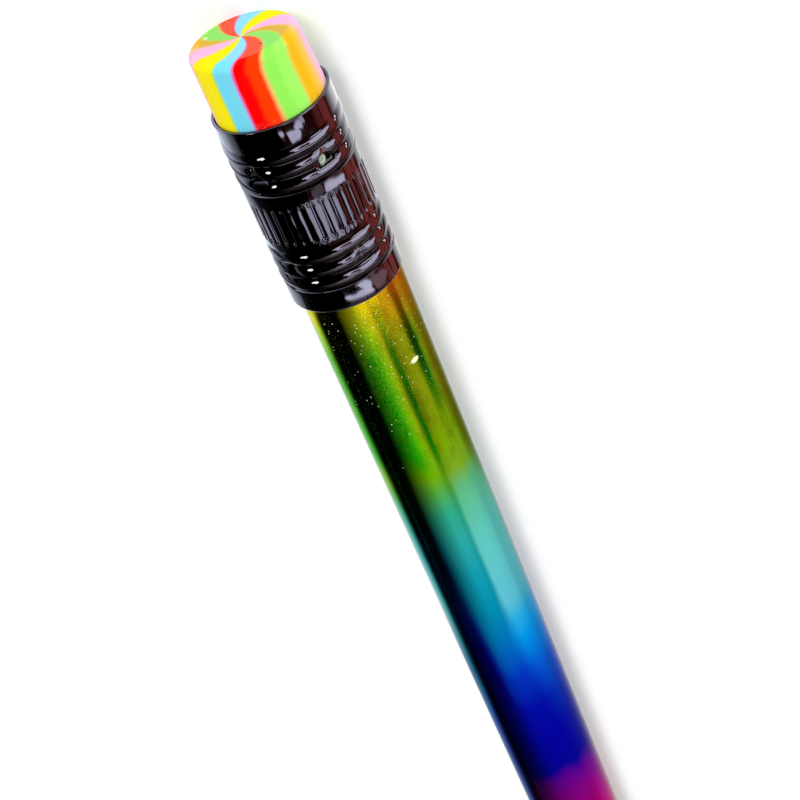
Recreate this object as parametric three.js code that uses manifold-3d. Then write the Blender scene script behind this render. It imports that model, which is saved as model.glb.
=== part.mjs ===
// A round wood-cased pencil: swirled eraser, crimped metal ferrule, foil-jacketed barrel, graphite core.
// Millimetres, +Z up. The pencil lies along X on the plane Z = 0, with its eraser at -X.
// Stations are distances along the pencil from the eraser's end face.
// Angles are counted round the pencil from straight up (+Z) towards +Y.
import * as THREE from 'three';
import { mergeVertices } from 'three/addons/utils/BufferGeometryUtils.js';
import Module from 'manifold-3d';

const wasm = await Module();
wasm.setup();

const { cos, PI, sin, tan } = Math;
const { degToRad } = THREE.MathUtils;
const fullTurn = 2 * PI;

// Driving dimensions: the barrel
const overallLength = 190;
const barrelRadius = 3.6;
const jacketThickness = 0.12;
const coreRadius = 1.1;
const glueFilm = 0.04;
const sharpenedAngle = degToRad(22);
const tipRadius = 0.3;

// Driving dimensions: the ferrule, band by band from its rim
const rimBand = 1.6;
const beadPitch = 1.06;
const beadsPerGroup = 3;
const upperPlain = 1.15;
const fluteLength = 2.8;
const lowerPlain = 0.65;
const barrelBand = 1.75;
const ferruleWall = 0.2;
const ferruleClearance = 0.03;
const ferruleOffset = 0.12; // the ferrule sits this far to the -Y side of the barrel's centre line
const beadRise = 0.05;
const beadDip = 0.06;
const hemRadius = 0.12;
const fluteCount = 36;
const fluteRadius = 0.3;
const fluteDepth = 0.1;

// Driving dimensions: the crimps that hold the eraser and the barrel
const crimpCount = 5;
const crimpRadius = 0.45;
const crimpDepth = 0.45;
const crimpClearance = 0.05;
const eraserCrimpAngle = degToRad(-45);
const barrelCrimpAngle = degToRad(-50);

// Driving dimensions: the eraser
const eraserExposed = 4.55;
const eraserClearance = 0.23;
const eraserEdgeRadius = 0.8;
const eraserEndGap = 0.3;
const swirlAngle = degToRad(42); // how far a strand turns between the rim and the centre
const firstStrandAngle = degToRad(-25.5);
const strandColours = [
  { name: 'red', share: 32, colour: 0xff3a10 },
  { name: 'green', share: 31, colour: 0x9cf765 },
  { name: 'orange', share: 25, colour: 0xf2b022 },
  { name: 'pink', share: 34, colour: 0xfbb6e8 },
  { name: 'yellow', share: 30, colour: 0xffe800 },
  { name: 'blue', share: 28, colour: 0x74ddff },
];
const colourRepeats = 2;

// Facets
const sides = 32;
const beadShape = [0, 0.62, 1, 1, 0.62]; // height over one bead: valley, flank, crest, crest, flank
const ballSegments = [10, 6];
const fluteSegments = [2, 8];
const edgeSteps = 4;
const strandFacets = 3;
const flatRings = 3;

// Fits and stations
const boreRadius = barrelRadius + ferruleOffset + ferruleClearance;
const bandRadius = boreRadius + ferruleWall;
const crestRadius = bandRadius + beadRise;
const casingRadius = barrelRadius - jacketThickness - glueFilm;
const eraserRadius = boreRadius - eraserClearance;
const beadGroup = beadsPerGroup * beadPitch;
const rimStation = eraserExposed;
const upperBeads = rimStation + rimBand;
const fluteStart = upperBeads + beadGroup + upperPlain;
const lowerBeads = fluteStart + fluteLength + lowerPlain;
const ferruleEnd = lowerBeads + beadGroup + barrelBand;
const eraserTail = fluteStart + (fluteLength - eraserEndGap) / 2;
const barrelStart = eraserTail + eraserEndGap;

function toSolid(geometry) {
  geometry.deleteAttribute('normal');
  geometry.deleteAttribute('uv');
  const welded = mergeVertices(geometry);
  const corners = welded.index.array;
  const triangles = [];
  for (let i = 0; i < corners.length; i += 3) {
    const triangle = corners.slice(i, i + 3);
    if (new Set(triangle).size === 3) triangles.push(...triangle);
  }
  const vertProperties = new Float32Array(welded.attributes.position.array);
  return new wasm.Manifold(new wasm.Mesh({ numProp: 3, vertProperties, triVerts: new Uint32Array(triangles) }));
}

function toMesh(name, solid, colour, roughness, metalness) {
  const { vertProperties, triVerts } = solid.getMesh();
  const geometry = new THREE.BufferGeometry();
  geometry.setAttribute('position', new THREE.BufferAttribute(vertProperties, 3));
  geometry.setIndex(new THREE.BufferAttribute(triVerts, 1));
  geometry.computeVertexNormals();
  const mesh = new THREE.Mesh(geometry, new THREE.MeshStandardMaterial({ color: colour, roughness, metalness }));
  mesh.name = name;
  return mesh;
}

// Corners lie this much further out than the flats, which have the stated radius.
const cornerStretch = 1 / cos(PI / sides);

// A turned solid from [radius, station] points, with a flat facing straight down.
function turned(profile) {
  const points = profile.map(([radius, station]) => new THREE.Vector2(radius * cornerStretch, station));
  return toSolid(new THREE.LatheGeometry(points, sides, PI / sides).rotateZ(-PI / 2));
}

function tube(outer, inner, start, end) {
  return turned([[inner, start], [outer, start], [outer, end], [inner, end], [inner, start]]);
}

// Balls in a ring round the ferrule, where its crimps are punched.
function crimpBalls(station, firstAngle, radius, sideShift = 0) {
  const distance = crestRadius - crimpDepth + crimpRadius;
  return Array.from({ length: crimpCount }, (_, i) => {
    const angle = firstAngle + (i * fullTurn) / crimpCount;
    const ball = new THREE.SphereGeometry(radius, ...ballSegments);
    return toSolid(ball.translate(station, distance * sin(angle) + sideShift, distance * cos(angle)));
  });
}

const eraserCrimps = [upperBeads + beadGroup / 2, eraserCrimpAngle];
const barrelCrimps = [lowerBeads + beadGroup / 2, barrelCrimpAngle];
const pocketRadius = crimpRadius + ferruleWall + crimpClearance;

const cutAll = (solid, cutters) => cutters.reduce((rest, cutter) => rest.subtract(cutter), solid);

// Eraser: wedges of coloured compound whose sides follow the swirl, under a rounded edge
function strandSolid(startAngle, width) {
  const flatRadius = eraserRadius - eraserEdgeRadius;
  const rings = [];
  for (let j = 0; j <= flatRings; j += 1) rings.push([(flatRadius * j) / flatRings, 0]);
  for (let j = 1; j <= edgeSteps; j += 1) {
    const turn = (j / edgeSteps) * (PI / 2);
    rings.push([flatRadius + eraserEdgeRadius * sin(turn), eraserEdgeRadius * (1 - cos(turn))]);
  }
  const place = (radius, step, station) => {
    const angle = startAngle + (width * step) / strandFacets + swirlAngle * (1 - radius / eraserRadius);
    return [station, radius * sin(angle), radius * cos(angle)];
  };
  const face = (j, i) => place(rings[j][0], i, rings[j][1]);
  const tail = (j, i) => place(rings[j][0], i, eraserTail);
  const positions = [];
  const quad = (a, b, c, d) => positions.push(...a, ...b, ...c, ...a, ...c, ...d);
  const last = rings.length - 1;
  for (let j = 0; j < last; j += 1) {
    for (let i = 0; i < strandFacets; i += 1) {
      quad(face(j, i), face(j + 1, i), face(j + 1, i + 1), face(j, i + 1));
      quad(tail(j, i), tail(j, i + 1), tail(j + 1, i + 1), tail(j + 1, i));
    }
    quad(face(j, 0), tail(j, 0), tail(j + 1, 0), face(j + 1, 0));
    quad(face(j, strandFacets), face(j + 1, strandFacets), tail(j + 1, strandFacets), tail(j, strandFacets));
  }
  for (let i = 0; i < strandFacets; i += 1) {
    quad(face(last, i), tail(last, i), tail(last, i + 1), face(last, i + 1));
  }
  const geometry = new THREE.BufferGeometry();
  geometry.setAttribute('position', new THREE.Float32BufferAttribute(positions, 3));
  return toSolid(geometry);
}

function eraser() {
  const group = new THREE.Group();
  const pockets = crimpBalls(...eraserCrimps, pocketRadius);
  const shares = strandColours.reduce((sum, { share }) => sum + share, 0) * colourRepeats;
  let passed = 0;
  for (let repeat = 1; repeat <= colourRepeats; repeat += 1) {
    for (const { name, share, colour } of strandColours) {
      const start = firstStrandAngle + (fullTurn * passed) / shares;
      const strand = strandSolid(start, (fullTurn * share) / shares);
      group.add(toMesh(`eraser_${name}_${repeat}`, cutAll(strand, pockets), colour, 0.6, 0));
      passed += share;
    }
  }
  return group;
}

// Ferrule: a metal tube with two groups of rolled beads, a fluted band and two rings of crimps
function beads(start) {
  const points = [];
  const steps = beadShape.length;
  for (let k = 0; k <= beadsPerGroup * steps; k += 1) {
    const height = (beadRise + beadDip) * beadShape[k % steps];
    points.push([bandRadius - beadDip + height, start + (k * beadPitch) / steps]);
  }
  return points;
}

function ferrule() {
  const outside = [
    [bandRadius, rimStation],
    [bandRadius, upperBeads - beadDip],
    ...beads(upperBeads),
    [bandRadius, upperBeads + beadGroup + beadDip],
    [bandRadius, lowerBeads - beadDip],
    ...beads(lowerBeads),
    [bandRadius, lowerBeads + beadGroup + beadDip],
    [bandRadius, ferruleEnd - hemRadius],
    [bandRadius - hemRadius, ferruleEnd],
  ];
  const bore = [[boreRadius, ferruleEnd], [boreRadius, rimStation]];
  const body = turned([[0, rimStation], ...outside, [0, ferruleEnd]]);
  let metal = turned([...outside, ...bore, outside[0]]);
  for (const ring of [eraserCrimps, barrelCrimps]) {
    for (const bump of crimpBalls(...ring, crimpRadius + ferruleWall)) metal = metal.add(bump.intersect(body));
    metal = cutAll(metal, crimpBalls(...ring, crimpRadius));
  }
  const fluteDistance = bandRadius - fluteDepth + fluteRadius;
  const flutes = Array.from({ length: fluteCount }, (_, i) => {
    const angle = (i * fullTurn) / fluteCount;
    const cutter = new THREE.CapsuleGeometry(fluteRadius, fluteLength - 2 * fluteRadius, ...fluteSegments);
    cutter.rotateZ(-PI / 2);
    return toSolid(
      cutter.translate(fluteStart + fluteLength / 2, fluteDistance * sin(angle), fluteDistance * cos(angle)),
    );
  });
  return toMesh('ferrule', cutAll(metal, flutes), 0x17090c, 0.12, 0.9);
}

// Barrel: two glued slats round the core, inside the foil jacket, all sharpened by the same cone
function sharpened() {
  const clearOfBarrel = barrelRadius + 1;
  const coneStart = overallLength - (clearOfBarrel - tipRadius) / tan(sharpenedAngle / 2);
  return turned([
    [0, barrelStart - 1],
    [clearOfBarrel, barrelStart - 1],
    [clearOfBarrel, coneStart],
    [tipRadius, overallLength],
    [0, overallLength],
  ]);
}

// One slat, on the +Y side for side = 1 and on the -Y side for side = -1.
function slat(side) {
  const seam = glueFilm / 2;
  const grooveRadius = coreRadius + glueFilm;
  const arc = (radius) => {
    const points = [new THREE.Vector2(-radius, side * seam)];
    for (let k = 0; k < sides / 2; k += 1) {
      const angle = ((k + 0.5) * fullTurn) / sides;
      const corner = radius * cornerStretch;
      points.push(new THREE.Vector2(-corner * cos(angle), side * corner * sin(angle)));
    }
    points.push(new THREE.Vector2(radius, side * seam));
    return points;
  };
  const section = new THREE.Shape([...arc(casingRadius), ...arc(grooveRadius).reverse()]);
  const length = { depth: overallLength - barrelStart, bevelEnabled: false };
  return toSolid(new THREE.ExtrudeGeometry(section, length).rotateY(PI / 2).translate(barrelStart, 0, 0));
}

function barrel() {
  const group = new THREE.Group();
  group.position.y = ferruleOffset;
  const envelope = sharpened();
  const pockets = crimpBalls(...barrelCrimps, pocketRadius, -ferruleOffset);
  const finish = (solid) => cutAll(solid.intersect(envelope), pockets);
  const jacket = tube(barrelRadius, barrelRadius - jacketThickness, barrelStart, overallLength);
  const core = turned([[0, barrelStart], [coreRadius, barrelStart], [coreRadius, overallLength], [0, overallLength]]);
  group.add(
    toMesh('foil_jacket', finish(jacket), 0x1c9a6c, 0.2, 0.95),
    toMesh('casing_half_left', finish(slat(-1)), 0xd8b384, 0.8, 0),
    toMesh('casing_half_right', finish(slat(1)), 0xd8b384, 0.8, 0),
    toMesh('graphite_core', finish(core), 0x2b2b2e, 0.45, 0.2),
  );
  return group;
}

const pencil = new THREE.Group();
pencil.position.set(-overallLength / 2, 0, crestRadius);
pencil.add(eraser(), ferrule(), barrel());

export default pencil;
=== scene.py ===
from math import cos, pi, radians, sin, sqrt, tan

import bmesh
import bpy
from mathutils import Matrix, Vector


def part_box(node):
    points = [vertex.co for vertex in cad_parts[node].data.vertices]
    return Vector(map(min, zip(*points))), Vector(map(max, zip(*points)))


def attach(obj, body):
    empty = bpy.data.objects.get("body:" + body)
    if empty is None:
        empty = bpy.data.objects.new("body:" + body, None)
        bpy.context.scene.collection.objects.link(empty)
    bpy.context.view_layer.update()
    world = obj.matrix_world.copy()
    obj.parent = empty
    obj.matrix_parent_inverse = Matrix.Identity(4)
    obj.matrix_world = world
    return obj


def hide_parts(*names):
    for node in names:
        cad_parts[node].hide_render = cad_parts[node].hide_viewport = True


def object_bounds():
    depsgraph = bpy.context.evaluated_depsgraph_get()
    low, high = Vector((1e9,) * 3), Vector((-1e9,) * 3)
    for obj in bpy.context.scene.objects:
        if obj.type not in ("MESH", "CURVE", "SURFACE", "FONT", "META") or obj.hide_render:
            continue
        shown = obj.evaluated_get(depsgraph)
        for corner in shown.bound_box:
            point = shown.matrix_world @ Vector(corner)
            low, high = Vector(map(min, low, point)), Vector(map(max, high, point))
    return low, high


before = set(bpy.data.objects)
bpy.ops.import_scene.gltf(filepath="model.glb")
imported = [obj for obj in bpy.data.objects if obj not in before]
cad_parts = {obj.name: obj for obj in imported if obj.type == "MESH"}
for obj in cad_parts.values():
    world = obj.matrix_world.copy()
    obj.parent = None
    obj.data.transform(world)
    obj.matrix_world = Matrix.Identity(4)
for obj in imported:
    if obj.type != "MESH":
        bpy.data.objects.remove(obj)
cad_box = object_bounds()


# Graphite core: a rod of fired graphite and clay, glued into the grooves of two wooden slats.
# A sharpener's blade has cut its end to a cone, and the first strokes have worn the point round.
mm = 0.001
core_low, core_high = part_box("graphite_core")
barrel_start, writing_tip = core_low.x, core_high.x
barrel_axis = (core_low + core_high) / 2
core_radius = (core_high.z - core_low.z) / 2
sharpened_angle = radians(22)
tip_radius = 0.3 * mm
worn_point = 0.12 * mm
barrel_steps = 160
merge_distance = 0.0001 * mm
crease_angle = radians(35)


def cone_station(radius):
    """Where the sharpened cone has this radius."""
    return writing_tip - (radius - tip_radius) / tan(sharpened_angle / 2)


def turned(outline, axis, round_steps, sweep=2 * pi):
    """A closed bmesh that sweeps (station, radius) points round the line along X through axis."""
    shape = bmesh.new()
    whole = sweep == 2 * pi
    steps = round(round_steps * sweep / (2 * pi))
    rings = []
    for step in range(steps if whole else steps + 1):
        angle = sweep * step / steps
        points = [(x, axis.y + r * sin(angle), axis.z + r * cos(angle)) for x, r in outline]
        rings.append([shape.verts.new(point) for point in points])
    following = rings[1:] + rings[:1] if whole else rings[1:]
    for ring, after in zip(rings, following):
        for k, (_, radius) in enumerate(outline):
            if radius or outline[k - 1][1]:
                shape.faces.new((ring[k - 1], ring[k], after[k], after[k - 1]))
    if not whole:
        shape.faces.new(rings[0])
        shape.faces.new(rings[-1])
    return shape


def add_object(name, data):
    made = bpy.data.objects.new(name, data)
    bpy.context.scene.collection.objects.link(made)
    return made


def piece_from(name, shape):
    """Closes and smooths a bmesh and makes it a named piece of the scene."""
    bmesh.ops.remove_doubles(shape, verts=shape.verts, dist=merge_distance)
    bmesh.ops.recalc_face_normals(shape, faces=shape.faces)
    for face in shape.faces:
        face.smooth = True
    for edge in shape.edges:
        edge.smooth = edge.calc_face_angle(0) < crease_angle
    mesh = bpy.data.meshes.new(name)
    shape.to_mesh(mesh)
    shape.free()
    return add_object(name, mesh)


def stand_for(piece, node):
    """The piece shows in place of its CAD node, on the pencil's one body."""
    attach(piece, "root")
    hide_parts(node)


class Wire:
    """A node's output. Python's operators on it add Math nodes to the same tree."""

    def __init__(self, tree, socket=None):
        self.tree = tree
        self.socket = socket

    def node(self, kind, settings, sockets, output=0):
        made = self.tree.nodes.new(kind)
        for name, value in settings.items():
            if name == "stops":
                elements = made.color_ramp.elements
                elements.remove(elements[1])
                elements[0].position, elements[0].color = value[0]
                for position, colour in value[1:]:
                    elements.new(position).color = colour
            else:
                setattr(made, name, value)
        for name, value in sockets.items():
            if isinstance(value, Wire):
                self.tree.links.new(value.socket, made.inputs[name])
            else:
                made.inputs[name].default_value = value
        return Wire(self.tree, made.outputs[output] if made.outputs else None)

    def math(self, operation, *values):
        return self.node("ShaderNodeMath", {"operation": operation}, dict(enumerate(values)))

    def __add__(self, other):
        return self.math("ADD", self, other)

    def __sub__(self, other):
        return self.math("SUBTRACT", self, other)

    def __rsub__(self, other):
        return self.math("SUBTRACT", other, self)

    def __mul__(self, other):
        return self.math("MULTIPLY", self, other)

    def __truediv__(self, other):
        return self.math("DIVIDE", self, other)

    def __rtruediv__(self, other):
        return self.math("DIVIDE", other, self)

    __radd__ = __add__
    __rmul__ = __mul__

    def split(self):
        """The three parts of a vector."""
        return [self.node("ShaderNodeSeparateXYZ", {}, {0: self}, axis) for axis in "XYZ"]

    def rise(self, low, high):
        """0 up to low, 1 from high on, and a smooth step between them."""
        limits = {"Value": self, "From Min": low, "From Max": high}
        return self.node("ShaderNodeMapRange", {"interpolation_type": "SMOOTHSTEP"}, limits)

    def span(self, other):
        """The distance from a point or an axis, from its two parts."""
        return self.math("SQRT", self * self + other * other)

    def stretch(self, factors):
        """A vector with each part multiplied by its own factor."""
        return self.node("ShaderNodeVectorMath", {"operation": "MULTIPLY"}, {0: self, 1: factors})

    def noise(self, size, detail=2.0):
        """Cloudy noise whose patches have about this size, from 0 to 1."""
        return self.node("ShaderNodeTexNoise", {}, {"Vector": self, "Scale": 1 / size, "Detail": detail})

    def mix(self, first, second):
        """One colour at 0 and another at 1."""
        colours = {0: self, 6: first, 7: second}
        return self.node("ShaderNodeMix", {"data_type": "RGBA"}, colours, 2)

    def ramp(self, stops):
        return self.node("ShaderNodeValToRGB", {"stops": stops}, {0: self})

    def bump(self, depth):
        """The normal of a surface whose height varies by this depth."""
        return self.node("ShaderNodeBump", {}, {"Height": self, "Distance": depth}, "Normal")


def paint(red, green, blue):
    """A colour as it is seen, in parts of 255, for a shader."""
    linear = []
    for share in (red / 255, green / 255, blue / 255):
        linear.append(share / 12.92 if share < 0.0404 else ((share + 0.055) / 1.055) ** 2.4)
    return (*linear, 1.0)


def blank_tree(owner):
    """The node tree of a material or a world, cleared for new nodes."""
    owner.use_nodes = True
    owner.node_tree.nodes.clear()
    return Wire(owner.node_tree)


def material_from(name, finish):
    """A material whose shader has the sockets that finish(coordinates) gives."""
    made = bpy.data.materials.new(name)
    place = blank_tree(made).node("ShaderNodeTexCoord", {}, {}, "Object")
    surface = place.node("ShaderNodeBsdfPrincipled", {}, finish(place))
    place.node("ShaderNodeOutputMaterial", {}, {"Surface": surface})
    return made


def graphite(place):
    """Grey-black with a dull shine, scored round by the blade and smudged by handling."""
    scores = place.stretch((60, 1, 1)).noise(1.2 * mm, 4.0)
    smudges = place.noise(0.5 * mm)
    return {
        "Base Color": smudges.mix(paint(44, 44, 48), paint(78, 78, 82)),
        "Metallic": 0.35,
        "Roughness": 0.34 + 0.2 * smudges,
        "Normal": scores.bump(0.02 * mm),
    }


core_outline = [
    (barrel_start, 0),
    (barrel_start, core_radius),
    (cone_station(core_radius), core_radius),
    (writing_tip - worn_point, tip_radius + worn_point * tan(sharpened_angle / 2)),
    (writing_tip - 0.4 * worn_point, 0.8 * tip_radius),
    (writing_tip, 0.4 * tip_radius),
    (writing_tip, 0),
]
core = piece_from("lead", turned(core_outline, barrel_axis, barrel_steps))
core.data.materials.append(material_from("graphite", graphite))
stand_for(core, "graphite_core")


# Casing: two grooved half-round slats of pale softwood, glued together round the core.
# Only the sharpened cone shows the bare wood, with its grain, the blade's marks and the glue line.
jacket_low, jacket_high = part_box("foil_jacket")
barrel_radius = (jacket_high.z - jacket_low.z) / 2
jacket_thickness = 0.12 * mm
glue_film = 0.04 * mm
casing_radius = barrel_radius - jacket_thickness - glue_film
groove_radius = core_radius + glue_film


def bare_wood(place):
    """Pale wood with streaks along the pencil, darker late-wood lines and fine marks round the cone."""
    streaks = place.stretch((0.06, 1, 1)).noise(0.35 * mm, 4.0)
    growth = place.stretch((0.03, 1, 0.25)).noise(0.9 * mm, 3.0).rise(0.45, 0.62)
    cuts = place.stretch((1, 0.05, 0.05)).noise(0.12 * mm)
    pale = streaks.rise(0.3, 0.7).mix(paint(214, 170, 118), paint(240, 208, 162))
    return {
        "Base Color": (0.55 * growth).mix(pale, paint(178, 124, 76)),
        "Roughness": 0.6 + 0.25 * streaks,
        "Normal": (streaks + 0.8 * cuts).bump(0.03 * mm),
    }


wood = material_from("bare wood", bare_wood)
slat_outline = [
    (barrel_start, groove_radius),
    (barrel_start, casing_radius),
    (cone_station(casing_radius), casing_radius),
    (cone_station(groove_radius), groove_radius),
]
for side, half_turn in (("left", pi), ("right", 0)):
    shape = turned(slat_outline, barrel_axis, barrel_steps, pi)
    about_axis = Matrix.Translation(barrel_axis) @ Matrix.Rotation(half_turn, 4, "X")
    seam = Vector((0, glue_film / 2, 0))
    shape.transform(about_axis @ Matrix.Translation(seam - barrel_axis))
    slat = piece_from(f"slat_{side}", shape)
    slat.data.materials.append(wood)
    stand_for(slat, f"casing_half_{side}")


# Jacket: white primer and a hot-stamped metallic foil, rolled round the casing and lacquered.
# The foil runs through the rainbow along the pencil, and the sharpener has cut it off at the cone.
# Its stations count from the eraser's end, and its sides from -1 on the left to 1 on the right.
eraser_face = cad_box[0].x
hue_start = 19 * mm
hue_cycle = 86 * mm
hue_drift = 3 * mm
hue_shift = 8 * mm
stripe_left = (-0.82, -0.74)
stripe_right = (-0.55, -0.3)
stripe_start = (38 * mm, 44 * mm)
stripe_end = (58 * mm, 64 * mm)
lag_side = (-0.88, -0.78)
lag_start = (42 * mm, 54 * mm)
green_end = (33 * mm, 37 * mm)
blue_start = (53 * mm, 70 * mm)
soft_start = (47 * mm, 58 * mm)
orange_side = (0.2, 0.7)
orange_end = (19.5 * mm, 23.5 * mm)
sparkle_end = (21 * mm, 40 * mm)
flake_spacing = 0.3 * mm
flake_edge = (0.1, 0.22)
flakes_end = (17 * mm, 35 * mm)
fleck_station = 25.4 * mm
fleck_side = 1.9 * mm
fleck_edge = (0.05 * mm * mm, 0.14 * mm * mm)
primer_edge = (barrel_radius - 0.07 * mm, barrel_radius - 0.05 * mm)
streak_fade = 5 * mm
# Painted reflections: two thin lines along the foil in its cool, darker hue, each with its side, width
# and end.
reflection_streaks = [(0.2, 0.07, 40 * mm), (0.66, 0.12, 32 * mm)]
# The foil's hues by the station in mm, on its cool side and then on its warm side.
cool_hues = [
    (19, paint(255, 232, 0)),
    (21.5, paint(156, 208, 0)),
    (24, paint(40, 180, 0)),
    (27, paint(14, 176, 0)),
    (33, paint(6, 186, 0)),
    (35.5, paint(120, 186, 0)),
    (37, paint(90, 184, 60)),
    (39, paint(50, 182, 140)),
    (42, paint(44, 178, 170)),
    (46, paint(18, 166, 186)),
    (50, paint(0, 150, 186)),
    (54, paint(0, 116, 200)),
    (58, paint(0, 56, 204)),
    (62, paint(0, 12, 176)),
    (66, paint(0, 0, 170)),
    (71, paint(4, 0, 168)),
    (73.4, paint(146, 0, 166)),
    (76, paint(196, 0, 164)),
    (80, paint(238, 20, 150)),
    (88, paint(240, 40, 50)),
    (97, paint(242, 140, 0)),
    (105, paint(255, 232, 0)),
]
warm_hues = [
    (19, paint(250, 208, 0)),
    (23, paint(170, 184, 0)),
    (30, paint(160, 190, 0)),
    (33, paint(146, 200, 0)),
    (35.5, paint(142, 196, 40)),
    (37.5, paint(104, 206, 140)),
    (42, paint(104, 216, 202)),
    (46, paint(106, 214, 218)),
    (50, paint(98, 206, 228)),
    (52, paint(40, 186, 246)),
    (54, paint(0, 166, 250)),
    (58, paint(0, 98, 230)),
    (62, paint(0, 52, 198)),
    (66, paint(0, 26, 182)),
    (70.6, paint(14, 6, 170)),
    (73.4, paint(152, 8, 172)),
    (76, paint(200, 0, 168)),
    (79, paint(240, 30, 150)),
    (88, paint(242, 50, 40)),
    (97, paint(240, 120, 10)),
    (105, paint(250, 208, 0)),
]


def hue_stops(hues):
    return [((at * mm - hue_start) / hue_cycle, colour) for at, colour in hues]


def rainbow_foil(place):
    """Coloured mirror foil under lacquer, with a fine grain, specks of glitter and one small white
    fleck.
    """
    x, y, z = place.split()
    station = x - eraser_face
    side = y - barrel_axis.y
    height = z - barrel_axis.z
    across = side / barrel_radius + 0.06 * (place.stretch((0.3, 1, 1)).noise(0.7 * mm) - 0.5)
    drift = hue_drift * (place.stretch((0.35, 1, 1)).noise(2.4 * mm, 3.0) - 0.5)
    in_stripe = across.rise(*stripe_left) * (1 - across.rise(*stripe_right))
    lead = hue_shift * in_stripe * station.rise(*stripe_start) * (1 - station.rise(*stripe_end))
    lag = hue_shift * (1 - across.rise(*lag_side)) * station.rise(*lag_start)
    phase = (station + drift + lead - lag - hue_start) / hue_cycle
    cycle = phase.math("FRACT", phase)
    past_green = station.rise(*green_end)
    border = 0.24 * past_green + 0.45 * station.rise(*blue_start)
    softness = 0.2 - 0.14 * past_green + 0.22 * station.rise(*soft_start)
    warm = ((across - border) / softness).rise(-1, 1)
    # Painted reflections: thin darker lines along the foil, in its cool hue.
    for streak_side, streak_width, streak_end in reflection_streaks:
        from_streak = place.math("ABSOLUTE", across - streak_side)
        past_streak = station.rise(streak_end - streak_fade, streak_end)
        beside = from_streak.rise(0.4 * streak_width, streak_width)
        warm = warm * place.math("MAXIMUM", beside, past_streak)
    hue = warm.mix(cycle.ramp(hue_stops(cool_hues)), cycle.ramp(hue_stops(warm_hues)))
    orange = across.rise(*orange_side) * (1 - station.rise(*orange_end))
    warmed = (0.85 * orange).mix(hue, paint(255, 166, 0))
    mottle = place.stretch((0.5, 1, 1)).noise(0.9 * mm, 3.0).rise(0.4, 0.75) * (1 - past_green)
    grain = place.noise(0.09 * mm)
    dulled = (0.25 * mottle + 0.2 * grain).mix(warmed, paint(0, 0, 0))
    sparkle = grain.rise(0.5, 0.7) * (1 - station.rise(*sparkle_end))
    grained = (0.45 * sparkle).mix(dulled, paint(252, 248, 90))
    cells = {"Vector": place, "Scale": 1 / flake_spacing}
    from_flake = place.node("ShaderNodeTexVoronoi", {}, cells)
    chance, _, _ = place.node("ShaderNodeTexVoronoi", {}, cells, "Color").split()
    left_out = 0.56 + 0.44 * station.rise(*flakes_end)
    flake = (1 - from_flake.rise(*flake_edge)) * chance.math("GREATER_THAN", chance, left_out)
    # A small white, non-metallic fleck on the upper side of the foil.
    fleck_along, fleck_across = station - fleck_station, side - fleck_side
    fleck_reach = 2.2 * fleck_along * fleck_along + fleck_across * fleck_across
    above = z.math("GREATER_THAN", z, barrel_axis.z)
    white_fleck = (1 - fleck_reach.rise(*fleck_edge)) * above
    speck = place.math("MAXIMUM", flake * 0.8, white_fleck)
    primer = 1 - side.span(height).rise(*primer_edge)
    return {
        "Base Color": primer.mix(speck.mix(grained, paint(255, 250, 206)), paint(244, 242, 236)),
        "Metallic": (1 - speck) * (1 - primer),
        "Roughness": 0.1 + 0.08 * place.noise(2.5 * mm),
        "Specular Tint": (0.55, 0.55, 0.55, 1.0),
        "Normal": grain.bump(0.002 * mm),
    }


jacket_outline = [
    (barrel_start, barrel_radius - jacket_thickness),
    (barrel_start, barrel_radius),
    (cone_station(barrel_radius), barrel_radius),
    (cone_station(barrel_radius - jacket_thickness), barrel_radius - jacket_thickness),
]
jacket = piece_from("foil_sleeve", turned(jacket_outline, barrel_axis, barrel_steps))
jacket.data.materials.append(material_from("rainbow foil", rainbow_foil))
stand_for(jacket, "foil_jacket")


# Ferrule: a thin metal tube, plated gloss black, with rolled beads and a fluted band.
# A ring of punched crimps in each group of beads bites into the eraser and into the barrel.
ferrule_low, ferrule_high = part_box("ferrule")
ferrule_axis = (ferrule_low + ferrule_high) / 2
rim_station, hem_station = ferrule_low.x, ferrule_high.x
crest_radius = (ferrule_high.z - ferrule_low.z) / 2
bead_rise = 0.05 * mm
bead_dip = 0.13 * mm
bead_pitch = 1.06 * mm
beads_per_group = 3
bead_fullness = 0.6
bead_roll = 0.08 * mm
band_radius = crest_radius - bead_rise
wall_thickness = 0.2 * mm
bore_radius = band_radius - wall_thickness
edge_radius = 0.07 * mm
hem_radius = 0.12 * mm
bead_group = beads_per_group * bead_pitch
upper_beads = rim_station + 1.6 * mm
flute_start = upper_beads + bead_group + 1.15 * mm
flute_length = 2.8 * mm
flute_end = flute_start + flute_length
lower_beads = flute_end + 0.65 * mm
plain_step = 0.3 * mm
bead_step = 0.08 * mm
flute_step = 0.12 * mm
bore_step = 0.7 * mm
edge_step = 0.03 * mm
ferrule_steps = 540
flute_half_steps = 2
flute_half_angle = flute_half_steps * 2 * pi / ferrule_steps
pressed_crease = radians(40)
# Where in each bead's pitch the painted shade begins.
under_bead_shade_from = (0.54, 0.66)
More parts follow.
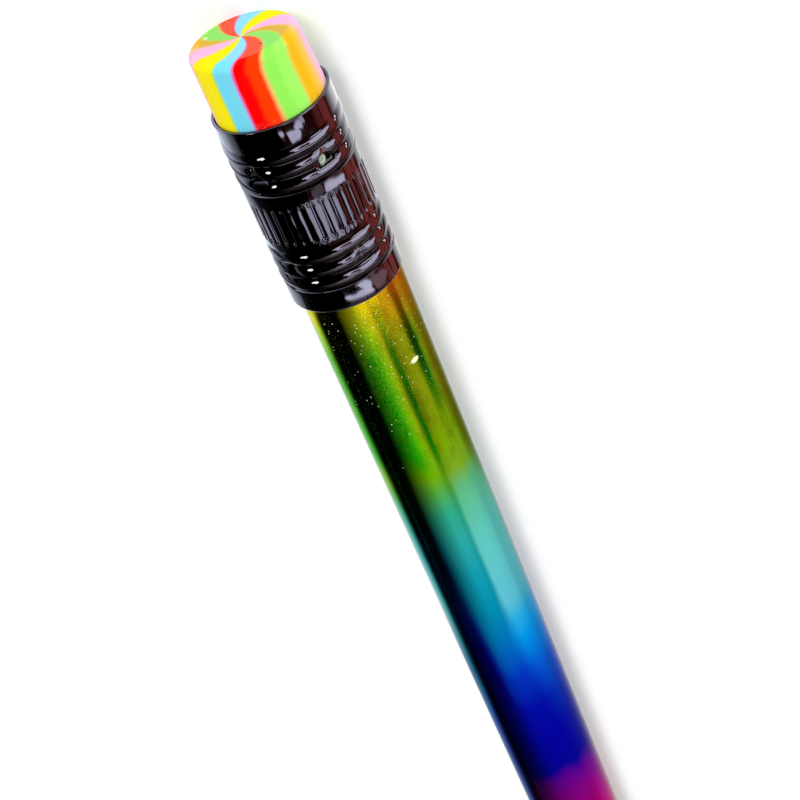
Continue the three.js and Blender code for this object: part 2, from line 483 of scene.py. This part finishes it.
# A painted glint in one crimp: its station, its side, its size and its uneven edge.
crimp_glint_station = 8.1 * mm
crimp_glint_side = 1.46 * mm
crimp_glint_size = (0.38 * mm, 0.27 * mm)
crimp_glint_wobble = 1.6
pressed_sizes = {
    "Axis height": ferrule_axis.z,
    "Wall middle": (bore_radius + band_radius) / 2,
    "Flute count": 36,
    "Flute angle": radians(5.4),
    "Flute middle": flute_start + flute_length / 2,
    "Flute half length": flute_length / 2,
    "Flute half width": flute_half_angle * band_radius,
    "Flute depth": 0.19 * mm,
    "Flute crown": 0.08 * mm,
    "Crimp count": 5,
    "Crimp radius": 0.5 * mm,
    "Dish radius": 1.3 * mm,
    "Dish depth": 0.1 * mm,
    "Eraser crimp station": upper_beads + 1.9 * mm,
    "Eraser crimp angle": radians(-46),
    "Eraser crimp depth": 0.26 * mm,
    "Barrel crimp station": lower_beads + 1.6 * mm,
    "Barrel crimp angle": radians(-50),
    "Barrel crimp depth": 0.14 * mm,
}


def bead_height(station):
    """Height of the rolled beads over the plain band, which rolls down to them at both ends."""
    for first in (upper_beads, lower_beads):
        beads = (station - first) / bead_pitch
        if 0 <= beads <= beads_per_group:
            return (bead_rise + bead_dip) * abs(sin(pi * beads)) ** bead_fullness - bead_dip
        outside = max(first - station, station - first - bead_group)
        if outside < bead_roll:
            return bead_dip * (sin(pi / 2 * outside / bead_roll) - 1)
    return 0.0


def evenly(first, last, step):
    """Stations about a step apart, with the first and without the last."""
    count = max(1, round(abs(last - first) / step))
    return [first + (last - first) * k / count for k in range(count)]


def ferrule_outline():
    """The tube's section: round the rim, along the outside, round the hem and back along the bore."""
    rounding = [radians(degrees) for degrees in (0, 30, 60, 90)]
    rim = [
        (rim_station + edge_radius * (1 - sin(a)), band_radius - edge_radius * (1 - cos(a)))
        for a in reversed(rounding)
    ]
    hem = [
        (hem_station - hem_radius * (1 - sin(a)), band_radius - hem_radius * (1 - cos(a)))
        for a in rounding
    ]
    marks = [(rim[-1][0] + edge_step, plain_step)]
    for first in (upper_beads, lower_beads):
        marks.append((first - bead_roll, bead_step))
        marks += [(first + bead_pitch * k, bead_step) for k in range(beads_per_group + 1)]
        marks.append((first + bead_group + bead_roll, plain_step))
    marks += [(flute_start, flute_step), (flute_end, plain_step)]
    marks += [(hem[0][0] - edge_step, edge_step), (hem[0][0], edge_step)]
    marks.sort()
    stretches = [(at, end, step) for (at, step), (end, _) in zip(marks, marks[1:])]
    outside = [(at, band_radius + bead_height(at)) for stretch in stretches for at in evenly(*stretch)]
    bore = [(at, bore_radius) for at in evenly(hem_station, rim_station, bore_step)]
    return [*rim, *outside, *hem, *bore, (rim_station, bore_radius)]


def press_tree(material):
    """Geometry Nodes that press the flutes and the crimps into a turned tube."""
    tree = bpy.data.node_groups.new("pressed flutes and crimps", "GeometryNodeTree")
    tree.interface.new_socket("Ferrule", in_out="OUTPUT", socket_type="NodeSocketGeometry")
    tree.interface.new_socket("Tube", in_out="INPUT", socket_type="NodeSocketGeometry")
    for name in pressed_sizes:
        tree.interface.new_socket(name, in_out="INPUT", socket_type="NodeSocketFloat")
    given = tree.nodes.new("NodeGroupInput")
    size = {socket.name: Wire(tree, socket) for socket in given.outputs if socket.name}
    x, y, z = Wire(tree).node("GeometryNodeInputPosition", {}, {}).split()
    up = z - size["Axis height"]
    radius = y.span(up)
    angle = x.math("ARCTAN2", y, up)

    def turn_from(count, first):
        """Angle round the tube from the nearest of so many evenly spaced lines."""
        return x.math("PINGPONG", angle - first, pi / count)

    past_middle = x.math("ABSOLUTE", x - size["Flute middle"])
    straight = size["Flute half length"] - size["Flute half width"]
    past_end = x.math("MAXIMUM", past_middle - straight, 0.0)
    turn = turn_from(size["Flute count"], size["Flute angle"])
    groove = x.math("MAXIMUM", 1 - past_end.span(radius * turn) / size["Flute half width"], 0.0)
    crown = 1 - turn * size["Flute count"] / pi
    inside = 1 - past_end.rise(0.0, size["Flute half width"])
    outer = radius.math("GREATER_THAN", radius, size["Wall middle"])
    press = (size["Flute depth"] * groove + size["Flute crown"] * crown * crown * inside) * outer
    for held in ("Eraser", "Barrel"):
        along = x - size[f"{held} crimp station"]
        aside = radius * turn_from(size["Crimp count"], size[f"{held} crimp angle"])
        punch = x.math("MAXIMUM", along, aside * sin(pi / 3) - along * cos(pi / 3))
        pit = x.math("MAXIMUM", 1 - punch / size["Crimp radius"], 0.0)
        dish = 1 - along.span(aside).rise(0.0, size["Dish radius"])
        press = press + size[f"{held} crimp depth"] * pit + size["Dish depth"] * dish
    shrink = 0 - press / radius
    offset = x.node("ShaderNodeCombineXYZ", {}, {"Y": y * shrink, "Z": up * shrink})
    pressed = x.node("GeometryNodeSetPosition", {}, {"Geometry": size["Tube"], "Offset": offset})
    whole = x.node("GeometryNodeRealizeInstances", {}, {"Geometry": pressed})
    plated = x.node("GeometryNodeSetMaterial", {}, {"Geometry": whole, "Material": material})
    x.node("NodeGroupOutput", {}, {"Ferrule": plated})
    return tree


def black_plating(place):
    """Gloss black plating on slightly uneven metal, with painted shade on the barrel side of each bead.

    One crimp holds a painted glint, a pale greenish patch that is unplated and rougher.
    """
    x, y, z = place.split()
    waves = place.noise(1.6 * mm, 1.0)
    hairlines = place.stretch((0.15, 1, 1)).noise(0.06 * mm, 3.0)
    colour = waves.mix(paint(92, 90, 98), paint(100, 98, 106))
    # Painted shade: the plating turns darker on the barrel side of each bead.
    for first in (upper_beads, lower_beads):
        beads = (x - first) / bead_pitch
        in_group = beads.rise(0.0, 0.1) * (1 - beads.rise(beads_per_group, beads_per_group + 0.1))
        under_bead_shade = beads.math("FRACT", beads).rise(*under_bead_shade_from) * in_group
        colour = under_bead_shade.mix(colour, paint(40, 28, 32))
    # Painted glint: a pale greenish patch in one crimp's pit.
    crumbs = place.noise(0.14 * mm, 2.0)
    crimp_glint_colour = crumbs.rise(0.3, 0.7).mix(paint(84, 104, 76), paint(210, 222, 202))
    along = (x - eraser_face - crimp_glint_station) / crimp_glint_size[0]
    aside = (y - crimp_glint_side) / crimp_glint_size[1]
    reach = along * along + aside * aside + crimp_glint_wobble * (crumbs - 0.5)
    above = z.math("GREATER_THAN", z, ferrule_axis.z)
    crimp_glint = (1 - reach.rise(0.7, 1.0)) * above
    return {
        "Base Color": crimp_glint.mix(colour, crimp_glint_colour),
        "Metallic": 1 - crimp_glint,
        "Roughness": 0.015 + 0.02 * hairlines + 0.3 * crimp_glint,
        "Normal": (waves + 0.02 * hairlines).bump(0.0015 * mm),
    }


ferrule = piece_from("ferrule_shell", turned(ferrule_outline(), ferrule_axis, ferrule_steps))
pressing = ferrule.modifiers.new("pressing", "NODES")
pressing.node_group = press_tree(material_from("black plating", black_plating))
for socket in pressing.node_group.interface.items_tree:
    if socket.name in pressed_sizes:
        pressing[socket.identifier] = pressed_sizes[socket.name]
pressed = ferrule.evaluated_get(bpy.context.evaluated_depsgraph_get())
pressed_mesh = bpy.data.meshes.new_from_object(pressed)
pressed_mesh.set_sharp_from_angle(angle=pressed_crease)
ferrule.modifiers.clear()
ferrule.data = pressed_mesh
stand_for(ferrule, "ferrule")


# Eraser: strands of coloured rubber, extruded together with a twist at the cut end, so that they swirl.
# The plug is pushed into the ferrule and held by its crimps; the free end has a rounded edge.
strand_boxes = [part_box(node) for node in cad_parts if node.startswith("eraser_")]
eraser_tail = max(high.x for _, high in strand_boxes)
eraser_radius = max(high.z for _, high in strand_boxes) - ferrule_axis.z
eraser_flat = 2.95 * mm
eraser_edge_height = 0.45 * mm
crease_turn = radians(28)
rim_swell = 0.15 * mm
end_slant = 0.25 * mm
end_lean = 0.17 * mm
face_rings = 16
edge_rings = 8
strand_steps = 12
swirl_bend = 0.12
side_stations = [station * mm for station in (0.6, 0.8, 1.0, 1.2, 1.6, 2.0, 2.8, 3.6, 4.5, 5.2)]
squeezed_from = 1.2 * mm
squeezed_radius = 3.25 * mm
cut_edge = (eraser_flat - 0.12 * mm, eraser_flat - 0.02 * mm)
scuff_and_glint_height = 0.5 * mm
# Each rubber's colour at a strand's first edge, at its last edge and on the cut end, where it is paler
# with a painted sheen.
rubber = {
    "red": (paint(255, 0, 0), paint(255, 58, 0), paint(250, 92, 66)),
    "green": (paint(146, 236, 88), paint(158, 242, 100), paint(144, 226, 108)),
    "orange": (paint(240, 184, 20), paint(246, 192, 56), paint(222, 178, 72)),
    "pink": (paint(250, 186, 227), paint(251, 194, 231), paint(250, 184, 225)),
    "yellow": (paint(255, 234, 0), paint(255, 238, 0), paint(255, 236, 0)),
    "blue": (paint(118, 222, 250), paint(122, 222, 242), paint(146, 222, 246)),
}
# The blend where two rubbers meet, with its share of a strand's width.
fringes = {
    ("red", "green"): (paint(244, 190, 110), 0.1),
    ("green", "orange"): (paint(212, 214, 96), 0.1),
    ("orange", "pink"): (paint(252, 198, 144), 0.34),
    ("pink", "yellow"): (paint(252, 206, 120), 0.08),
    ("yellow", "blue"): (paint(206, 232, 60), 0.08),
    ("blue", "red"): (paint(200, 160, 246), 0.08),
}
# Small marks on the cut end, a dark stain and a pale spot that is a painted highlight, each with its
# place aside and up, its size and its colour.
end_marks = [
    (0.76 * mm, 1.87 * mm, 0.13 * mm, paint(96, 60, 30)),
    # A painted highlight on the green strand.
    (-2.2 * mm, -1.6 * mm, 0.24 * mm, paint(214, 240, 190)),
]
# Each strand's rubber and first edge: the angle at the rim and the turn on to the centre, in degrees.
strand_edges = [
    ("red", -26, 48),
    ("green", 5, 62),
    ("orange", 36, 70),
    ("pink", 64.5, 57),
    ("yellow", 101, 39),
    ("blue", 133, 38),
    ("red", 164, 35),
    ("green", 193, 36),
    ("orange", 224.5, 38),
    ("pink", 254, 11),
    ("yellow", 282, 24),
    ("blue", 314, 26),
]


def eraser_path():
    """The eraser's half section from the middle of its free end to the middle of its tail."""
    path = [(0.0, eraser_flat * k / face_rings) for k in range(face_rings + 1)]
    for k in range(1, edge_rings + 1):
        turn = crease_turn + (pi / 2 - crease_turn) * k / edge_rings
        out = (sin(turn) - sin(crease_turn)) / (1 - sin(crease_turn))
        down = 1 - cos(turn) / cos(crease_turn)
        path.append((eraser_edge_height * down, eraser_flat + (eraser_radius - eraser_flat) * out))
    end = path[:face_rings + 1]
    rim_depth = rim_station - eraser_face
    for station in side_stations:
        swell = rim_swell * min(1, (station - eraser_edge_height) / (rim_depth - eraser_edge_height))
        path.append((station, eraser_radius + swell))
    path.append((rim_depth + squeezed_from, squeezed_radius))
    return path + [(eraser_tail - eraser_face, radius) for _, radius in reversed(end)]


def strand_shape(start, end):
    """A closed wedge of the eraser between two edges, each (angle at the rim, turn to the centre)."""
    shape = bmesh.new()
    across = shape.loops.layers.uv.new("across")
    shares = {}
    rows = []
    for station, radius in eraser_path():
        from_edge = 1 - radius / eraser_radius
        if radius > eraser_radius:
            from_edge = (eraser_edge_height - station) / eraser_radius
        inward = (from_edge + sqrt(from_edge * from_edge + swirl_bend * swirl_bend)) / 2
        first, last = (radians(rim + turn * inward) for rim, turn in (start, end))
        free = max(0, 1 - station / (rim_station - eraser_face))
        row = []
        for step in range(strand_steps + 1):
            share = step / strand_steps
            angle = first + (last - first) * share
            side, height = radius * sin(angle), radius * cos(angle)
            slant = end_slant * free * (1 + side / eraser_radius) / 2
            point = (eraser_face + station + slant, side - end_lean * free, ferrule_axis.z + height)
            row.append(shape.verts.new(point))
            shares[row[-1]] = share
        rows.append(row)
    for row, after in zip(rows, rows[1:]):
        for k in range(strand_steps):
            shape.faces.new((row[k], row[k + 1], after[k + 1], after[k]))
    for side in (0, strand_steps):
        wall = [row[side] for row in rows]
        for k in range(len(wall) // 2 - 1):
            shape.faces.new((wall[k], wall[k + 1], wall[-k - 2], wall[-k - 1]))
    for face in shape.faces:
        for loop in face.loops:
            loop[across].uv = (shares[loop.vert], 0.5)
    return shape


def rubber_finish(before, own, after):
    """Satin rubber that bleeds a little into its neighbours, and is paler on the cut end, a painted
    sheen.
    """

    def finish(place):
        x, y, z = place.split()
        share, _, _ = place.node("ShaderNodeTexCoord", {}, {}, "UV").split()
        mottle = place.noise(0.6 * mm, 3.0)
        crumbs = place.noise(0.08 * mm, 3.0)
        height = z - ferrule_axis.z
        cut_end = 1 - y.span(height).rise(*cut_edge)
        blur = 0.08 * mottle + 0.12 * cut_end
        narrowed = 1 - 0.7 * cut_end
        strength = 0.7 - 0.3 * cut_end
        first, last, sheened_cut_colour = rubber[own]
        left_fringe, left_width = fringes[before, own]
        right_fringe, right_width = fringes[own, after]
        outside = (share + 0.3 * (mottle - 0.5)).rise(0.4, 0.6).mix(first, last)
        # Painted sheen: the cut end takes its paler colour.
        body = cut_end.mix(outside, sheened_cut_colour)
        left = strength * (1 - (share / (left_width * narrowed + blur)).rise(0.0, 1.0))
        right = strength * (1 - ((1 - share) / (right_width * narrowed + blur)).rise(0.0, 1.0))
        bled = right.mix(left.mix(body, left_fringe), right_fringe)
        # Pale specks just above the ferrule's rim: worn rubber and painted glints.
        scuffs_and_glints = (x - rim_station).rise(-scuff_and_glint_height, 0.0) * crumbs.rise(0.56, 0.62)
        colour = (0.15 * scuffs_and_glints).mix(bled, paint(255, 236, 216))
        for mark_side, mark_height, mark_size, mark_colour in end_marks:
            from_mark = (y - mark_side).span(height - mark_height)
            marked = cut_end * (1 - from_mark.rise(0.3 * mark_size, mark_size))
            colour = marked.mix(colour, mark_colour)
        return {
            "Base Color": colour,
            "Roughness": 0.5 + 0.2 * mottle,
            "Specular IOR Level": 0.03,
            "Normal": (mottle + 0.3 * crumbs).bump(0.02 * mm),
        }

    return finish


names = list(rubber)
rubber_materials = {
    name: material_from(f"{name} rubber", rubber_finish(names[k - 1], name, names[(k + 1) % len(names)]))
    for k, name in enumerate(names)
}
for k, (name, rim, turn) in enumerate(strand_edges):
    _, next_rim, next_turn = strand_edges[(k + 1) % len(strand_edges)]
    if next_rim < rim:
        next_rim += 360
    repeat = 1 + k // len(names)
    strand = piece_from(f"strand_{name}_{repeat}", strand_shape((rim, turn), (next_rim, next_turn)))
    strand.data.materials.append(rubber_materials[name])
    stand_for(strand, f"eraser_{name}_{repeat}")


# Stage: a pale floor that keeps the pencil's shadow, a soft key lamp on its left and even fill.
# A dark tent with windows in it, which only reflections see, shapes the light on the metal.
floor_half = 1.5
floor_glow = 0.2
past_ends = (97 * mm, 105 * mm)
lit_side = (1.5 * mm, 4 * mm)
shadow_side = (4.6 * mm, 6 * mm)
fill_level = 0.48
white = paint(255, 255, 255)


def stage_sheet(name, corners, faces, surface_of):
    """A sheet that isn't part of the pencil, with the surface that surface_of(tree) gives."""
    mesh = bpy.data.meshes.new(name)
    mesh.from_pydata(corners, [], faces)
    made = bpy.data.materials.new(name)
    tree = blank_tree(made)
    tree.node("ShaderNodeOutputMaterial", {}, {"Surface": surface_of(tree)})
    mesh.materials.append(made)
    sheet = add_object(name, mesh)
    return sheet


def shown_rays(tree):
    """1 for rays that show the background, straight or reflected, and 0 for rays that light things."""
    kinds = ("Is Camera Ray", "Is Glossy Ray", "Is Transmission Ray")
    straight, glossy, clear = (tree.node("ShaderNodeLightPath", {}, {}, kind) for kind in kinds)
    return tree.math("MAXIMUM", tree.math("MAXIMUM", straight, glossy), clear)


def floor_surface(tree):
    """White, with the pencil's shadow beside it, and evenly white where the shadow has ended."""
    x, y, _ = tree.node("ShaderNodeTexCoord", {}, {}, "Object").split()
    past_sides = tree.math("MAXIMUM", (0 - y).rise(*lit_side), y.rise(*shadow_side))
    even = tree.math("MAXIMUM", past_sides, tree.math("ABSOLUTE", x).rise(*past_ends))
    shaded = tree.node("ShaderNodeBsdfDiffuse", {}, {"Color": white})
    glow = tree.node("ShaderNodeEmission", {}, {"Color": white, "Strength": 1.0})
    share = (floor_glow + (1 - floor_glow) * even) * shown_rays(tree)
    return tree.node("ShaderNodeMixShader", {}, {0: share, 1: shaded, 2: glow})


floor_corners = [(x * floor_half, y * floor_half, 0) for x, y in ((-1, -1), (1, -1), (1, 1), (-1, 1))]
stage_sheet("floor", floor_corners, [(0, 1, 2, 3)], floor_surface)

world = bpy.data.worlds.new("studio")
bpy.context.scene.world = world
sky = blank_tree(world)
sky_level = fill_level + (1 - fill_level) * shown_rays(sky)
background = sky.node("ShaderNodeBackground", {}, {"Color": white, "Strength": sky_level})
sky.node("ShaderNodeOutputWorld", {}, {"Surface": background})

tent_radius = 150 * mm
tent_ends = (-250 * mm, 500 * mm)
tent_reach = 91
tent_steps = 60
apron_height = 0.4 * mm
apron_reach = 172 * mm
left_apron_start = -4 * mm
right_apron_start = 5 * mm
reflected_slope = 0.64
shade_reach = 60
pane_wobble = 1.1
lilac = (0.86, 0.86, 1.0, 1.0)
cool = (0.85, 0.93, 1.06, 1.0)
sky_blue = (0.5, 0.8, 1.0, 1.0)
rose = (0.9, 0.56, 0.62, 1.0)
black = (0.0, 0.0, 0.0, 1.0)
maroon = (0.75, 0.14, 0.11, 1.0)
brown = (0.4, 0.28, 0.09, 1.0)


def lit(level, tint=white):
    return (*(level * part for part in tint[:3]), 1.0)


def lights(*levels, tint=white):
    """Stops of light in one tint, each with its place and its level."""
    return [(at, lit(level, tint)) for at, level in levels]


# The tent's light by the angle round the pencil, in degrees, for each stretch along it, in mm.
ferrule_light = lights(
    (-91, 0), (-10, 0), (-4, 0.1), (58, 0.12), (66, 0.6), (75, 0.7), (77, 0.1), (80, 1.1), (91, 1.2),
    tint=maroon,
)
upper_light = lights(
    (-91, 0), (-58, 0), (-50, 0.12), (-42, 0.2), (-24, 0.5), (-7, 0.92), (8, 0.92),
    (16, 0.22), (26, 0.22), (34, 0.34), (48, 0.58), (66, 0.64), (91, 0.6),
)
middle_light = lights(
    (-91, 0), (-64, 0), (-44, 0.26), (-24, 0.62), (-6, 1.0), (12, 1.0),
    (19, 0.85), (25, 0.85), (33, 0.97), (66, 0.97), (91, 0.85),
)
lower_light = lights(
    (-91, 0.1), (-80, 0.1), (-60, 0.2), (-44, 0.47), (-24, 0.82), (-4, 0.96), (40, 0.98), (91, 0.85)
)
bead_light = [
    *lights((-91, 0), (-16, 0), (0, 0.12), tint=maroon),
    *lights((20, 0.4), (44, 0.36), tint=rose),
    *lights((60, 0.4), (91, 0.9), tint=maroon),
]
tent_start = (-165, -158)
barrel_from = (22.6, 25)
middle_from = (62, 78)
lower_from = (104, 128)
beads_from = (190, 204)
dim_level = 0.05
dim_angles = (62, 76)
dim_end = (42, 60)

# Windows in the tent, each with its middle and its half sizes, in mm along it and in degrees round it.
windows = [
    ((-142, 50), (14, 14), lit(5.0, (0.9, 1.0, 0.9))),
    ((-64, 37), (36, 41), lit(3.2, lilac)),
    ((-60, 20), (20, 13), lit(0.4, maroon)),
    ((-11.9, -7), (0.6, 5), lit(3.6, lilac)),
    ((-11.0, 15), (0.95, 13), lit(3.6, lilac)),
    ((-12.3, 27), (0.8, 9), lit(3.6, lilac)),
    ((-12.9, 36), (0.6, 5), lit(2.6, lilac)),
    ((-5.4, 24), (3.2, 36), lit(3.0, lilac)),
    ((0.2, 12), (0.95, 12), lit(0.5, (0.9, 0.7, 0.8))),
    ((0.2, 50), (0.95, 24), lit(3.6, lilac)),
    ((5.2, 16), (3.8, 32), lit(1.0, lilac)),
    ((5.2, 8), (3.8, 26), lit(2.3, lilac)),
    ((14.4, 37), (3.6, 41), lit(1.8, (0.9, 0.8, 0.88))),
    ((20.8, 58), (1.5, 18), lit(1.2, (0.8, 0.5, 0.5))),
    ((20.8, 10), (1.5, 36), lit(4.2, lilac)),
    ((20.4, 0), (0.8, 16), black),
    ((-70, -57), (20, 7), lit(8.0)),
]

# Light beside the pencil by the distance from it, in mm, up to where the next stretch of it takes over.
band_shade = lights((4, 1.9), (11, 1.6), (16, 0.75), (34, 0.23), (shade_reach, 0), tint=cool)
bead_shade = lights((4, 0.7), (7, 0.5), (10, 0.12), (14, 0.03), (shade_reach, 0), tint=cool)
flute_shade = lights((4, 0.9), (9, 0.65), (12, 0.3), (15, 0.08), (shade_reach, 0), tint=cool)
hem_shade = lights((4, 1.15), (9, 1.0), (14, 0.62), (18, 0.05), (shade_reach, 0), tint=cool)
foil_shade = lights((4, 1.9), (8, 1.5), (12, 0.35), (15, 0), (shade_reach, 0))
blue_shade = [
    *lights((4, 0.95), (8, 0.7), (12, 0.12), tint=sky_blue),
    *lights((15, 0.02), (shade_reach, 0.02)),
]
left_shades = [
    (-90.8, -90.0, band_shade),
    (-87.3, -86.7, bead_shade),
    (-82.8, -82.4, flute_shade),
    (-82.0, -81.6, band_shade),
    (-78.9, -78.5, bead_shade),
    (-76.8, -75.8, hem_shade),
    (-46, -34, foil_shade),
    (0, 0, blue_shade),
]
rim_glow = lights((5, 2.0), (10, 1.9), (13, 1.2), (19, 0.5))
rim_wall = lights((24, 0.5), (34, 0.2), (42, 1.1), tint=maroon)
crimped_glow = lights((6, 1.3), (10, 0.8))
crimped_wall = lights((12, 0.2), (15, 0.2), (17, 1.3), (34, 1.4), (shade_reach, 0.2), tint=maroon)
right_shades = [
    (-90, -87, rim_glow + rim_wall),
    (-76.9, -76.4, crimped_glow + crimped_wall),
    (-61, -53, [*lights((5, 0.7)), (8, brown), (13, brown), *lights((24, 0.5), (shade_reach, 0.5))]),
    (0, 0, lights((5, 0.95), (12, 0.85), (17, 0.75), (shade_reach, 0.75))),
]
right_cards = [
    ((-87, 30), (4, 3.5), lit(7.0)),
    ((-79.5, 37), (3, 4), lit(7.0)),
]


def mirrored(tree, colour):
    """Light for what mirrors a sheet straight, so that no mirror throws it on to the floor."""
    scattered = tree.node("ShaderNodeLightPath", {}, {}, "Diffuse Depth").rise(0.0, 1.0)
    return tree.node("ShaderNodeEmission", {}, {"Color": colour, "Strength": 1 - scattered})


def with_panes(light, panes, along, across):
    """Lays panes of light over another light, each with a middle, half sizes and an uneven edge."""
    for k, (middle, half_size, colour) in enumerate(panes):
        u = (along - middle[0]) / half_size[0]
        v = (across - middle[1]) / half_size[1]
        uneven = u.node("ShaderNodeCombineXYZ", {}, {"X": u, "Y": v, "Z": k}).noise(0.9, 0.0) - 0.5
        cubes = [u.math("POWER", u.math("ABSOLUTE", part), 3.0) for part in (u, v)]
        reach = u.math("POWER", cubes[0] + cubes[1], 1 / 3) + pane_wobble * uneven
        light = (1 - reach.rise(0.9, 1.0)).mix(light, colour)
    return light


def arch_surface(tree):
    """The tent's light, by the angle round the pencil and the distance along it."""
    x, y, z = tree.node("ShaderNodeTexCoord", {}, {}, "Object").split()
    along = x / mm
    angle = x.math("ARCTAN2", y, z - ferrule_axis.z) * (180 / pi)

    def light_of(stops):
        share = (angle + tent_reach) / (2 * tent_reach)
        return share.ramp([((at + tent_reach) / (2 * tent_reach), colour) for at, colour in stops])

    over_ferrule = with_panes(light_of(ferrule_light), windows, along, angle)
    dimmed = angle.rise(*dim_angles) * (1 - along.rise(*dim_end))
    over_barrel = dimmed.mix(light_of(upper_light), lit(dim_level))
    stretches = [
        (tent_start, over_ferrule),
        (barrel_from, over_barrel),
        (middle_from, light_of(middle_light)),
        (lower_from, light_of(lower_light)),
        (beads_from, light_of(bead_light)),
    ]
    light = black
    for start, following in stretches:
        light = along.rise(*start).mix(light, following)
    return mirrored(tree, light)


def apron_surface(shades, cards):
    """Light on the floor beside the pencil, by its distance from it and the stretch that reflects it."""

    def surface_of(tree):
        x, y, _ = tree.node("ShaderNodeTexCoord", {}, {}, "Object").split()
        aside = y.math("ABSOLUTE", y / mm)
        stretch = x / mm - reflected_slope * aside
        light = None
        for low, high, stops in reversed(shades):
            shade = (aside / shade_reach).ramp([(at / shade_reach, level) for at, level in stops])
            light = shade if light is None else stretch.rise(low, high).mix(shade, light)
        return mirrored(tree, with_panes(light, cards, x / mm, aside))

    return surface_of


def reflection_sheet(name, corners, faces, surface_of):
    """A sheet that only reflections see."""
    sheet = stage_sheet(name, corners, faces, surface_of)
    sheet.visible_camera = False
    sheet.visible_diffuse = False
    sheet.visible_shadow = False


def apron(name, near, far, surface_of):
    """A strip just over the floor along the pencil, between two distances to its side."""
    corners = [(x, y, apron_height) for y in (near, far) for x in tent_ends]
    reflection_sheet(name, corners, [(0, 1, 3, 2)], surface_of)


arch_corners = []
for k in range(tent_steps + 1):
    angle = radians(tent_reach * (2 * k / tent_steps - 1))
    for x in tent_ends:
        arch_corners.append((x, tent_radius * sin(angle), ferrule_axis.z + tent_radius * cos(angle)))
arch_faces = [(2 * k, 2 * k + 1, 2 * k + 3, 2 * k + 2) for k in range(tent_steps)]
reflection_sheet("tent arch", arch_corners, arch_faces, arch_surface)
apron("left apron", left_apron_start, -apron_reach, apron_surface(left_shades, []))
apron("right apron", right_apron_start, apron_reach, apron_surface(right_shades, right_cards))


def soft_lamp(name, direction, distance, size, energy, casts_shadow):
    """A round soft lamp that lights the pencil from a direction and doesn't show in reflections."""
    lamp = bpy.data.lights.new(name, "AREA")
    lamp.shape = "DISK"
    lamp.size = size
    lamp.energy = energy
    lamp.use_shadow = casts_shadow
    made = add_object(name, lamp)
    towards = Vector(direction).normalized()
    made.location = Vector((eraser_face, 0, 0)) + distance * towards
    made.rotation_euler = (-towards).to_track_quat("-Z", "Y").to_euler()
    made.visible_glossy = False


soft_lamp("key lamp", (-0.5, -0.21, 0.85), distance=1.0, size=0.24, energy=5.1, casts_shadow=True)
soft_lamp("fill lamp", (-0.25, 0.85, 0.45), distance=1.0, size=0.5, energy=3.65, casts_shadow=False)


# Camera: above the eraser end, looking down along the pencil and rolled so that it runs down the frame.
# Its place, lens and angles were fitted to the pencil's outline in the picture.
camera_place = Vector((eraser_face - 43.85 * mm, 0, ferrule_axis.z + 95.97 * mm))
look_down = radians(52.25)
roll = radians(23.27)
camera_data = bpy.data.cameras.new("camera")
camera_data.sensor_width = 36
camera_data.lens = 76.5
camera = add_object("camera", camera_data)
forward = Vector((cos(look_down), 0, -sin(look_down)))
level_right = Vector((0, 1, 0))
level_up = level_right.cross(forward)
rolled_right = level_right * cos(roll) - level_up * sin(roll)
rolled_up = level_up * cos(roll) + level_right * sin(roll)
facing = Matrix((rolled_right, rolled_up, -forward)).transposed()
camera.matrix_world = Matrix.Translation(camera_place) @ facing.to_4x4()
bpy.context.scene.camera = camera
bpy.context.scene.view_settings.view_transform = "Standard"
